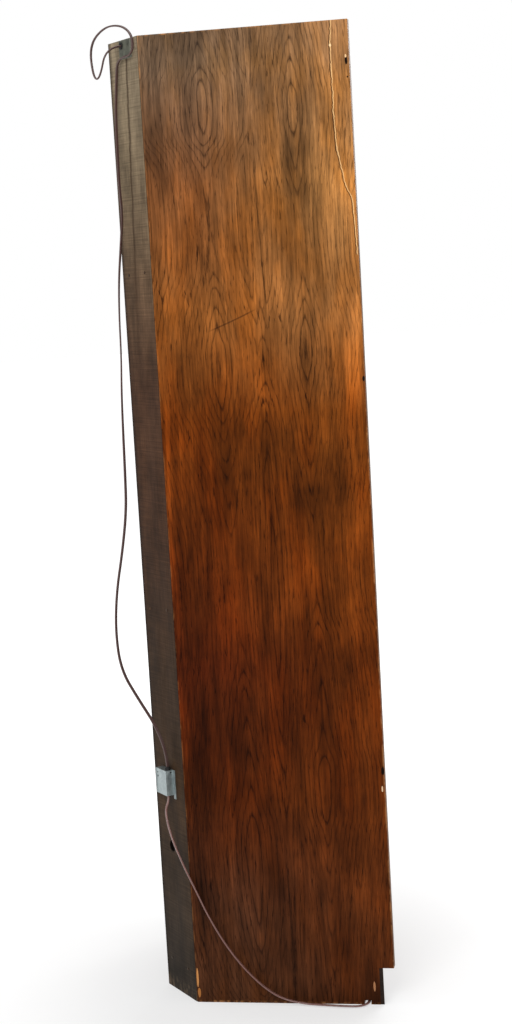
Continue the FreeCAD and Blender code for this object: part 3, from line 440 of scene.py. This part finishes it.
        # a dark knot hole and dents near the front edge, an old dark ring of dirt across the middle
        for s0, t0, rs, rt, c in ((0.4002, 1.854, 0.0024, 0.0075, (20, 12, 9)), (0.4010, 1.8235, 0.0014, 0.002, (30, 18, 12)), (0.4030, 0.481, 0.0030, 0.008, (16, 10, 8)), (0.4005, 0.4446, 0.0016, 0.006, (215, 190, 165)),
                                  (0.3995, 1.862, 0.0016, 0.003, (226, 196, 160)), (0.3713, 1.884, 0.0022, 0.003, (240, 214, 176)), (0.0030, 0.052, 0.0022, 0.020, (196, 142, 92)), (0.0050, 0.020, 0.0030, 0.010, (166, 112, 66)), (0.3650, 0.038, 0.0022, 0.010, (168, 122, 92)), (0.4035, 1.255, 0.0025, 0.005, (18, 12, 10))):
            a_ = g.m("DIVIDE", g.m("SUBTRACT", s, s0), rs)
            b_ = g.m("DIVIDE", g.m("SUBTRACT", t, t0), rt)
            q = g.m("ADD", g.m("MULTIPLY", a_, a_), g.m("MULTIPLY", b_, b_))
            q = g.m("ADD", q, g.m("MULTIPLY_ADD", wn, 1.2, -0.6))
            col = g.mix(g.m("LESS_THAN", q, 1.0), col, lin(c))
        # thin dark curved scratch from the upper oval towards the right ridge
        lx = g.m("SUBTRACT", s, 0.112)
        ly = g.m("SUBTRACT", t, 1.362)
        arc = g.m("SUBTRACT", ly, g.m("ADD", g.m("MULTIPLY", lx, 0.36), g.m("MULTIPLY", g.m("MULTIPLY", lx, lx), 0.5)))
        on2 = g.m("MULTIPLY", g.band(lx, -0.01, 0.092, 0.02), g.m("LESS_THAN", g.m("ABSOLUTE", arc), 0.0016))
        col = g.mix(g.m("MULTIPLY", on2, 0.55), col, lin((50, 26, 14)))
    # inside face and edges are plain stock
    ins = g.m("LESS_THAN", n, -0.0006)
    plain = g.mix(1.0, lin((112, 80, 52)), fb, "MULTIPLY")
    fr = g.m("GREATER_THAN", s, 0.4052)
    edgec = g.mix(wn, lin((84, 58, 40)), lin((134, 102, 74)))
    col = g.mix(ins, col, plain)
    col = g.mix(g.m("MULTIPLY", fr, ins), col, edgec)
    rough = g.ramp(g.m("ADD", g.m("MULTIPLY", cloud, 0.5), g.m("MULTIPLY", fib, 0.5)), [(0.3, 0.36), (0.7, 0.56)])
    col = g.mix(0.55, col, g.mix(1.0, col, (1.04, 0.86, 0.55, 1), "MULTIPLY"))
    return g.out(col, rough, g.bump(height, 0.5, 0.0006), spec=0.035)


oak_l = side_material("oak_veneer_left", -1, 0.0, True)
oak_r = side_material("oak_veneer_right", 1, 4.0, False)
paint(oak_l, "side_panel_left")
paint(oak_r, "side_panel_right")


def wood(name, base, across, along, scale=1.0, rough=(0.4, 0.6), contrast=1.0, spec=0.35, pores=True, wearc=None):
    g = G(name)
    s, t = g.dot(g.pos, across), g.dot(g.pos, along)
    w = g.dot(g.pos, tuple(Vector(across).cross(Vector(along))))
    so = g.m("MULTIPLY_ADD", s, 1.0, 1.7)
    rings = g.noise(g.vec(g.m("MULTIPLY", so, 22 * scale), g.m("MULTIPLY", t, 1.1 * scale), g.m("MULTIPLY", w, 14.0)), 1.0, 2.0, 0.5, 0.4)
    ph = g.m("FRACT", g.m("MULTIPLY", rings, 7.0))
    ring = g.ramp(ph, [(0.0, 0.62), (0.08, 0.78), (0.5, 1.06), (0.92, 0.9), (1.0, 0.62)])
    fib = g.noise(g.vec(g.m("MULTIPLY", so, 380.0), g.m("MULTIPLY", t, 7.0), g.m("MULTIPLY", w, 380.0)), 1.0, 4.0, 0.6)
    fb = g.ramp(fib, [(0.25, 1.0 - 0.4 * contrast), (0.5, 1.0), (0.75, 1.0 + 0.4 * contrast)])
    cloud = g.noise(g.vec(g.m("MULTIPLY", s, 6.0), g.m("MULTIPLY", t, 2.0), g.m("MULTIPLY", w, 6.0)), 1.0, 3.0, 0.55)
    cl = g.ramp(cloud, [(0.3, 0.74), (0.7, 1.24)])
    col = g.mix(1.0, lin(base), ring, "MULTIPLY")
    col = g.mix(0.9, col, fb, "MULTIPLY")
    col = g.mix(0.9, col, cl, "MULTIPLY")
    h = fib
    if pores:
        po = g.noise(g.vec(g.m("MULTIPLY", so, 800.0), g.m("MULTIPLY", t, 30.0), g.m("MULTIPLY", w, 800.0)), 1.0, 2.0, 0.5)
        po = g.ramp(po, [(0.35, 0.0), (0.45, 1.0)])
        col = g.mix(g.m("MULTIPLY", g.m("SUBTRACT", 1.0, po), 0.6), col, g.mix(1.0, col, (0.35, 0.3, 0.28, 1), "MULTIPLY"))
        h = g.m("ADD", g.m("MULTIPLY", po, 0.6), g.m("MULTIPLY", fib, 0.4))
    rg = g.ramp(cloud, [(0.3, rough[0]), (0.7, rough[1])])
    return g.out(col, rg, g.bump(h, 0.3, 0.0005), spec=spec)


X, Y, Z = (1, 0, 0), (0, 1, 0), (0, 0, 1)
frame_v = wood("oak_frame_upright", (112, 60, 28), X, Z, spec=0.12)
frame_h = wood("oak_frame_level", (108, 57, 27), Z, X, spec=0.12)
paint(frame_v, "front_stile_left", "front_stile_right", "door_stile_knob", "door_stile_hinge")
paint(frame_h, "head_rail", "sill_rail", "door_rail_top", "door_rail_bottom", "glass_stops")
paint(wood("deck_board", (150, 116, 78), Y, X, rough=(0.55, 0.75), pores=False), "top_board", "bottom_board")
paint(wood("seat_board", (140, 100, 64), Y, X, rough=(0.55, 0.75), pores=False), "seatboard")
paint(wood("dial_board", (104, 60, 34), X, Z), "dial_surround")
paint(wood("toe_board_stain", (44, 32, 26), Z, X, rough=(0.6, 0.8), pores=False, spec=0.1), "toe_board")


# ---------------------------------------------------------------- spine board: aged, with a fine cross grain and a central seam
def spine_material():
    g = G("spine_board_aged")
    x, y, z = g.dot(g.pos, X), g.dot(g.pos, Y), g.dot(g.pos, Z)
    tz = g.m("MULTIPLY", z, 1.0 / 1.93)
    base = g.ramp(tz, [(0.0, lin((50, 43, 36))), (0.2, lin((62, 46, 32))), (0.36, lin((58, 42, 29))), (0.5, lin((66, 44, 30))), (0.65, lin((74, 50, 35))), (0.76, lin((92, 72, 54))), (0.88, lin((122, 106, 84))), (1.0, lin((138, 124, 102)))])
    band = g.noise(g.vec(g.m("MULTIPLY", x, 7.0), g.m("MULTIPLY", z, 330.0), 0.0), 1.0, 3.0, 0.6)
    bn = g.ramp(band, [(0.28, 0.62), (0.5, 1.0), (0.72, 1.34)])
    blot = g.noise(g.vec(g.m("MULTIPLY", x, 20.0), g.m("MULTIPLY", z, 9.0), 5.0), 1.0, 4.0, 0.65)
    base = g.mix(0.9, base, g.ramp(blot, [(0.32, 0.62), (0.68, 1.4)]), "MULTIPLY")
    fib = g.noise(g.vec(g.m("MULTIPLY", x, 260.0), g.m("MULTIPLY", z, 10.0), g.m("MULTIPLY", y, 200.0)), 1.0, 4.0, 0.6)
    fb = g.ramp(fib, [(0.25, 0.72), (0.75, 1.26)])
    cloud = g.noise(g.vec(g.m("MULTIPLY", x, 14.0), g.m("MULTIPLY", z, 2.6), 0.0), 1.0, 3.0, 0.55)
    cl = g.ramp(cloud, [(0.3, 0.74), (0.7, 1.24)])
    col = g.mix(0.8, base, bn, "MULTIPLY")
    col = g.mix(0.8, col, fb, "MULTIPLY")
    col = g.mix(1.0, col, cl, "MULTIPLY")
    # the seam drifts a little and fades below two thirds of the height
    sx = g.m("SUBTRACT", x, g.m("MULTIPLY_ADD", z, -0.047, 0.0765))
    sx = g.m("ADD", sx, g.m("MULTIPLY_ADD", g.noise(g.vec(0.0, g.m("MULTIPLY", z, 22.0), 4.0), 1.0, 3.0, 0.6), 0.012, -0.006))
    seam = g.m("MULTIPLY", g.ramp(g.m("ABSOLUTE", sx), [(0.0012, 1.0), (0.0052, 0.0)]), g.band(z, 1.20, 3.0, 0.5))
    col = g.mix(g.m("MULTIPLY", seam, 0.92), col, lin((40, 22, 11)))
    right = g.band(sx, -0.2, 0.0, 0.004)
    col = g.mix(g.m("MULTIPLY", g.m("MULTIPLY", right, g.band(z, 1.3, 2.2, 0.5)), 0.22), col, lin((64, 50, 40)))
    # painted shadow as a dark line along the far corner, brown stain bled round the near one
    far_edge_shadow = g.band(x, 0.050, 0.08, 0.012)
    near = g.band(x, -0.08, -0.056, 0.006)
    col = g.mix(g.m("MULTIPLY", far_edge_shadow, 0.75), col, lin((30, 20, 15)))
    wn = g.noise(g.vec(g.m("MULTIPLY", x, 80.0), g.m("MULTIPLY", z, 30.0), 2.0), 1.0, 3.0, 0.7)
    col = g.mix(g.m("MULTIPLY", g.m("MULTIPLY", near, g.band(z, 1.35, 1.9, 0.3)), g.ramp(wn, [(0.35, 0.0), (0.6, 0.85)])), col, lin((150, 128, 100)))
    line_ = g.band(x, -0.08, -0.0615, 0.0015)
    col = g.mix(g.m("MULTIPLY", line_, 0.85), col, lin((28, 18, 12)))
    chip = g.m("MULTIPLY", g.band(z, -0.1, 0.03, 0.02), g.ramp(wn, [(0.45, 0.0), (0.6, 1.0)]))
    col = g.mix(g.m("MULTIPLY", chip, 0.5), col, lin((120, 100, 80)))
    hole = g.m("LESS_THAN", y, YS - 0.0006)
    # painted shade: a dark ring round the mouth of the hole and its walls painted near black
    hx, hz = g.m("SUBTRACT", x, 0.006), g.m("SUBTRACT", z, 0.312)
    hr = g.m("SQRT", g.m("ADD", g.m("MULTIPLY", hx, hx), g.m("MULTIPLY", hz, hz)))
    col = g.mix(g.m("MULTIPLY", g.ramp(g.m("MULTIPLY", hr, 20.0), [(0.22, 1.0), (0.29, 0.0)]), 0.8), col, lin((22, 14, 9)))
    ins = g.mix(1.0, lin((96, 70, 48)), fb, "MULTIPLY")
    ins = g.mix(g.m("LESS_THAN", hr, 0.0135), ins, lin((14, 9, 6)))
    col = g.mix(hole, col, ins)
    h = g.m("ADD", g.m("MULTIPLY", band, 0.6), g.m("MULTIPLY", fib, 0.4))
    h = g.m("SUBTRACT", h, seam)
    return g.out(col, g.ramp(cloud, [(0.3, 0.55), (0.7, 0.72)]), g.bump(h, 0.4, 0.0005), spec=0.06)


paint(spine_material(), "spine_panel")


# ---------------------------------------------------------------- metals, plastics, glass
def metal(name, base, rough=(0.2, 0.35), brushed=None, patina=None, metalness=1.0, spots=0.0, spun=None, filled=None):
    g = G(name)
    big = g.noise(g.pos, 18.0, 4.0, 0.6)
    col = g.mix(g.ramp(big, [(0.35, 0.0), (0.7, 1.0)]), lin(base), lin(patina or tuple(int(v * 0.82) for v in base)))
    rg = g.ramp(big, [(0.3, rough[0]), (0.7, rough[1])])
    if spun:
        cx, cz = spun
        dx, dz = g.m("SUBTRACT", g.dot(g.pos, X), cx), g.m("SUBTRACT", g.dot(g.pos, Z), cz)
        r = g.m("SQRT", g.m("ADD", g.m("MULTIPLY", dx, dx), g.m("MULTIPLY", dz, dz)))
        line = g.noise(g.vec(g.m("MULTIPLY", r, 1400.0), 0.0, 0.0), 1.0, 3.0, 0.6)
    else:
        k = brushed or (300, 300, 6)
        line = g.noise(g.vec(g.m("MULTIPLY", g.dot(g.pos, X), k[0]), g.m("MULTIPLY", g.dot(g.pos, Y), k[1]), g.m("MULTIPLY", g.dot(g.pos, Z), k[2])), 1.0, 3.0, 0.6)
    col = g.mix(0.35, col, g.ramp(line, [(0.3, 0.75), (0.7, 1.2)]), "MULTIPLY")
    if spots:
        sp_ = g.noise(g.pos, 160.0, 3.0, 0.7)
        col = g.mix(g.m("MULTIPLY", g.ramp(sp_, [(0.62, 0.0), (0.72, 1.0)]), spots), col, lin((70, 48, 30)))
    mat = g.out(col, rg, g.bump(line, 0.12, 0.0003), metal=metalness)
    if filled is not None:
        # raised markers, waxed black
        mk = g.m("LESS_THAN", g.dot(g.pos, Y), filled)
        g.put(g.mix(mk, col, g.mix(big, lin((16, 15, 16)), lin((40, 36, 34)))), g.b.inputs["Base Color"])
        g.put(g.m("SUBTRACT", metalness, g.m("MULTIPLY", mk, metalness)), g.b.inputs["Metallic"])
    return mat


brass = metal("brass_aged", (198, 158, 88), patina=(150, 112, 60), spots=0.35)
brass_spun = metal("brass_spun_bob", (214, 172, 96), patina=(176, 134, 70), spun=(0.0, 0.667), spots=0.2)
brass_dial = metal("brass_dial_sheet", (190, 152, 92), rough=(0.3, 0.45), patina=(150, 116, 68), brushed=(500, 10, 12), spots=0.25)
silver = metal("silvered_ring", (205, 203, 194), rough=(0.32, 0.45), patina=(176, 170, 156), spun=(0.0, 1.6), spots=0.3, filled=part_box("chapter_ring")[0][1] + 0.0006)
steel = metal("steel_bright", (176, 178, 180), patina=(120, 118, 116), spots=0.3)
blued = metal("steel_blued", (34, 38, 52), rough=(0.25, 0.4), patina=(22, 24, 32))
nailm = metal("nail_heads", (70, 60, 52), rough=(0.45, 0.65), patina=(96, 66, 44), spots=0.6)
paint(brass, "door_knob", "hinge_fixed_leaves", "hinge_door_leaves", "hinge_pins", "movement_front_plate", "movement_back_plate", "plate_pillars", "great_wheel",
      "centre_wheel", "third_wheel", "escape_wheel", "cable_drum", "minute_wheel", "hour_wheel", "pendulum_cock", "pendulum_rod", "rating_nut", "pulley", "weight")
paint(brass_spun, "pendulum_bob")
paint(brass_dial, "dial_plate")
paint(silver, "chapter_ring")
paint(steel, "anchor", "cannon_pinion", "pulley_stirrup", "weight_cable")
paint(blued, "hour_hand", "minute_hand")
paint(nailm, "rear_nails")


def galvanised():
    g = G("galvanised_steel")
    cell = g.voro(g.pos, 170.0, out="Color")
    val = g.dot(cell, (0.4, 0.35, 0.25))
    big = g.noise(g.pos, 60.0, 4.0, 0.65)
    col = g.mix(val, lin((150, 162, 162)), lin((188, 198, 198)))
    col = g.mix(g.ramp(big, [(0.35, 0.55), (0.7, 0.0)]), col, lin((112, 122, 124)))
    z = g.dot(g.pos, Z)
    x = g.dot(g.pos, X)
    col = g.mix(g.m("MULTIPLY", g.band(z, 0.36, 0.422, 0.03), 0.35), col, lin((120, 116, 108)))
    sc = g.noise(g.vec(g.m("MULTIPLY", x, 60.0), 0.0, g.m("MULTIPLY", z, 900.0)), 1.0, 2.0, 0.6)
    h = g.m("ADD", g.m("MULTIPLY", val, 0.5), g.m("MULTIPLY", sc, 0.3))
    return g.out(col, g.ramp(g.m("ADD", g.m("MULTIPLY", big, 0.6), g.m("MULTIPLY", val, 0.4)), [(0.3, 0.28), (0.7, 0.5)]), g.bump(h, 0.15, 0.0004), metal=0.75)


paint(galvanised(), "ballast_case", "ballast_cover")


def plastic(name, base, rough=(0.35, 0.5), bump=0.1, scale=900.0, spec=0.4, dirt=0.3):
    g = G(name)
    f = g.noise(g.pos, scale, 3.0, 0.6)
    big = g.noise(g.pos, 35.0, 3.0, 0.6)
    col = g.mix(g.m("MULTIPLY", g.ramp(big, [(0.4, 0.0), (0.75, 1.0)]), dirt), lin(base), lin(tuple(min(255, int(v * 0.7 + 26)) for v in base)))
    return g.out(col, g.ramp(big, [(0.3, rough[0]), (0.7, rough[1])]), g.bump(f, bump, 0.0003), spec=spec)


# one brown vinyl cord in two copies: the lower one lighter with painted sheen, the upper one darker with painted shade
cord_lit_copy = plastic("cord_vinyl_brown", (122, 84, 76), rough=(0.2, 0.3), bump=0.05, spec=0.6, dirt=0.45)
upper.data.materials.append(plastic("cord_vinyl_brown_shaded_copy", (76, 52, 48), rough=(0.28, 0.4), bump=0.05, spec=0.5, dirt=0.5))
lower.data.materials.append(cord_lit_copy)
paint(plastic("plug_brown_moulded", (64, 40, 32), spec=0.5), "plug")
paint(plastic("rubber_black", (16, 15, 15), rough=(0.5, 0.7), bump=0.2), "cord_grommet", "cord_clamp")
paint(plastic("potting_pitch", (22, 20, 19), rough=(0.4, 0.7), bump=0.4), "ballast_core")
paint(plastic("lampholder_white", (214, 212, 204), rough=(0.4, 0.5)), "lamp_holders")
paint(plastic("enamel_white", (222, 222, 216), rough=(0.15, 0.25), bump=0.04), "lamp_channel")


def plate_green():
    g = G("plate_grey_green")
    big = g.noise(g.pos, 70.0, 4.0, 0.65)
    col = g.mix(g.ramp(big, [(0.35, 0.0), (0.7, 1.0)]), lin((104, 106, 92)), lin((64, 66, 56)))
    x, z, y = g.dot(g.pos, X), g.dot(g.pos, Z), g.dot(g.pos, Y)
    # painted highlight: a lighter line along two edges of the plate
    rim_highlight = g.m("MAXIMUM", g.band(x, -0.05, -0.0370, 0.001), g.band(z, 1.88, 1.8945, 0.001))
    col = g.mix(g.m("MULTIPLY", rim_highlight, 0.6), col, lin((150, 150, 138)))
    return g.out(col, g.ramp(big, [(0.3, 0.4), (0.7, 0.6)]), g.bump(big, 0.3, 0.0008), metal=0.3)


paint(plate_green(), "cord_plate")


def tube_glass():
    g = G("phosphor_tube")
    x = g.dot(g.pos, X)
    ax = g.m("ABSOLUTE", x)
    f = g.noise(g.pos, 300.0, 3.0, 0.6)
    col = g.ramp(g.m("MULTIPLY", ax, 4.0), [(0.0, lin((240, 240, 236))), (0.76, lin((236, 236, 230))), (0.835, lin((120, 118, 116))), (0.846, lin((176, 176, 178))), (1.0, lin((150, 150, 152)))])
    return g.out(col, 0.22, g.bump(f, 0.03, 0.0002), spec=0.6)


paint(tube_glass(), "lamp_tube")


def glass():
    g = G("door_glass_clear")
    f = g.noise(g.pos, 9.0, 3.0, 0.6)
    smear = g.noise(g.pos, 46.0, 4.0, 0.65)
    g.b.inputs["Transmission Weight"].default_value = 0.0
    g.b.inputs["Alpha"].default_value = 0.055
    g.mat.surface_render_method = "BLENDED" if hasattr(g.mat, "surface_render_method") else None
    col = g.mix(smear, lin((200, 214, 210)), lin((226, 232, 228)))
    return g.out(col, g.ramp(smear, [(0.35, 0.03), (0.75, 0.10)]), g.bump(f, 0.02, 0.001), spec=0.5)


paint(glass(), "door_glass")

# ---------------------------------------------------------------- soft edges on the CAD pieces
for nm, wdt in (("side_panel_left", 0.0009), ("side_panel_right", 0.0009), ("spine_panel", 0.0007), ("head_rail", 0.0015), ("sill_rail", 0.0015),
                ("front_stile_left", 0.0012), ("front_stile_right", 0.0012), ("door_stile_knob", 0.0015), ("door_stile_hinge", 0.0015), ("door_rail_top", 0.0012),
                ("door_rail_bottom", 0.0012), ("ballast_case", 0.0004), ("ballast_cover", 0.0004), ("cord_plate", 0.0005), ("seatboard", 0.001), ("plug", 0.0018),
                ("toe_board", 0.0006), ("lamp_channel", 0.001), ("lamp_holders", 0.001)):
    md = NODES[nm].modifiers.new("edge", "BEVEL")
    md.width = wdt
    md.segments = 2
    md.limit_method = "ANGLE"
    md.angle_limit = math.radians(40)
    md.harden_normals = False


# ---------------------------------------------------------------- dial lettering: a minute track
def link(ob, body="case"):
    scene.collection.objects.link(ob)
    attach(ob, body)
    return ob


def ink():
    g = G("dial_ink")
    f = g.noise(g.pos, 260.0, 3.0, 0.6)
    col = g.mix(g.ramp(f, [(0.55, 0.0), (0.8, 1.0)]), lin((18, 17, 18)), lin((58, 54, 50)))
    return g.out(col, g.ramp(f, [(0.3, 0.4), (0.7, 0.6)]), g.bump(f, 0.1, 0.0001), spec=0.3)


inkm = ink()
lo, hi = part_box("chapter_ring")
FACE = lo[1]
CZ = 0.5 * (lo[2] + hi[2])
bm = bmesh.new()
for k in range(60):
    a = math.radians(6 * k)
    r0, r1, w = (0.1285, 0.1335, 0.0011) if k % 5 == 0 else (0.1300, 0.1335, 0.00045)
    vs = []
    for y in (FACE + 0.00075, FACE + 0.00045):
        for r, q in ((r0, -w), (r0, w), (r1, w), (r1, -w)):
            vs.append(bm.verts.new((r * math.sin(a) + q * math.cos(a), y, CZ + r * math.cos(a) - q * math.sin(a))))
    bm.faces.new(vs[0:4])
    bm.faces.new(vs[4:8])
    for i in range(4):
        bm.faces.new((vs[i], vs[(i + 1) % 4], vs[4 + (i + 1) % 4], vs[4 + i]))
bmesh.ops.recalc_face_normals(bm, faces=bm.faces)
me = bpy.data.meshes.new("minute_track")
bm.to_mesh(me)
bm.free()
me.materials.append(inkm)
track = link(bpy.data.objects.new("minute_track", me))

# ---------------------------------------------------------------- floor and light
g = G("floor_pale")
f = g.noise(g.pos, 3.0, 3.0, 0.5)
fc = g.mix(f, (0.46, 0.46, 0.46, 1), (0.50, 0.50, 0.50, 1))
floor_m = g.out(fc, 0.9, spec=0.0)
g.b.inputs["Emission Color"].default_value = (1, 1, 1, 1)
fx, fy = g.dot(g.pos, X), g.dot(g.pos, Y)
fr_ = g.m("SQRT", g.m("ADD", g.m("MULTIPLY", fx, fx), g.m("MULTIPLY", fy, fy)))
# painted contact shadow: the floor's emission is weaker near the clock and rises further out
g.put(g.ramp(g.m("MULTIPLY", fr_, 0.2), [(0.06, 0.50), (0.30, 0.84), (1.0, 0.95)]), g.b.inputs["Emission Strength"])
me = bpy.data.meshes.new("floor")
me.from_pydata([(-30, -30, 0), (30, -30, 0), (30, 30, 0), (-30, 30, 0)], [], [(0, 1, 2, 3)])
me.materials.append(floor_m)
floor = bpy.data.objects.new("floor", me)
scene.collection.objects.link(floor)

w = bpy.data.worlds.new("studio")
scene.world = w
w.use_nodes = True
nt = w.node_tree
bgn = nt.nodes["Background"]
bgn.inputs[0].default_value = (1, 1, 1, 1)
bgn.inputs[1].default_value = 0.36
bg2 = nt.nodes.new("ShaderNodeBackground")
bg2.inputs[0].default_value = (1, 1, 1, 1)
bg2.inputs[1].default_value = 1.0
lp = nt.nodes.new("ShaderNodeLightPath")
mx = nt.nodes.new("ShaderNodeMixShader")
nt.links.new(lp.outputs["Is Camera Ray"], mx.inputs[0])
nt.links.new(bgn.outputs[0], mx.inputs[1])
nt.links.new(bg2.outputs[0], mx.inputs[2])
nt.links.new(mx.outputs[0], nt.nodes["World Output"].inputs[0])


def area(name, loc, target, size, power):
    ld = bpy.data.lights.new(name, "AREA")
    ld.shape = "RECTANGLE"
    ld.size, ld.size_y = size
    ld.energy = power
    ob = bpy.data.objects.new(name, ld)
    scene.collection.objects.link(ob)
    ob.location = loc
    ob.rotation_euler = (Vector(target) - Vector(loc)).to_track_quat("-Z", "Y").to_euler()
    return ob


area("key", (-2.6, 2.6, 3.4), (0, 0, 1.0), (2.2, 2.2), 88)
area("front", (1.6, -3.2, 2.8), (0, 0, 1.0), (2.4, 2.4), 90)
area("top", (0.0, 0.0, 4.6), (0, 0, 0), (3.0, 3.0), 60)
scene.view_settings.view_transform = "Standard"
scene.view_settings.look = "None"
